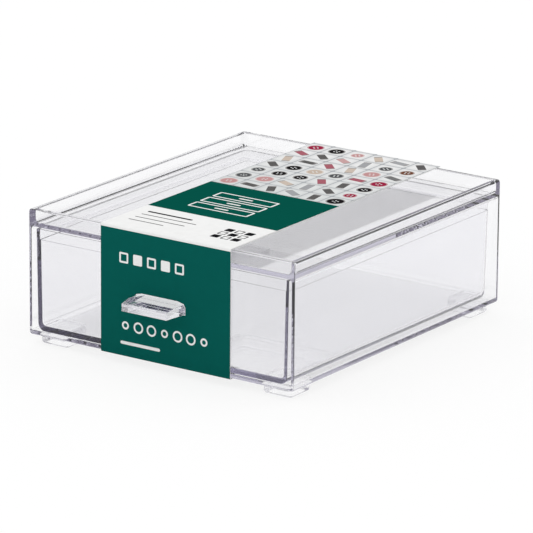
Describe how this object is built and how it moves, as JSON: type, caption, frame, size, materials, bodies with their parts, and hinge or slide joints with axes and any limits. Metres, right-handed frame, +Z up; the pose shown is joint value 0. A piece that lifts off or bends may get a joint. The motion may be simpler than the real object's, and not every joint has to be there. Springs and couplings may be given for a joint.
{
  "type": "stackable drawer box",
  "caption": "Clear stackable drawer box: open-front case with nesting feet and a stacking tray on top, a sliding drawer with a solid faceted pull, and a card sleeve folded over its front.",
  "frame": {"origin": "centre of the footprint, pull included, on the surface that the feet stand on", "axes": "+Y runs from the drawer's front to the back of the case, +Z up, +X to the right as seen from the front"},
  "size_m": [0.16, 0.1986, 0.0706],
  "materials": {
    "clear_case": "clear polystyrene, polished",
    "clear_feet": "clear polystyrene, slightly frosted",
    "clear_drawer": "clear polystyrene, polished",
    "clear_pull": "clear polystyrene, polished facets",
    "printed_card": "coated card, printed dark green and white"
  },
  "bodies": {
    "case": {"case": "clear_case", "foot_front_left": "clear_feet", "foot_front_right": "clear_feet", "foot_back_left": "clear_feet", "foot_back_right": "clear_feet"},
    "drawer": {"drawer_tub": "clear_drawer", "drawer_pull": "clear_pull"},
    "sleeve": {"card_sleeve": "printed_card"}
  },
  "joints": [
    {"name": "drawer_slide", "type": "slide", "parent": "case", "child": "drawer", "axis": [0, -1, 0], "range_m": [0, 0.14]},
    {"name": "sleeve_slide", "type": "slide", "parent": "drawer", "child": "sleeve", "axis": [0, -1, 0], "range_m": [0, 0.2]}
  ]
}
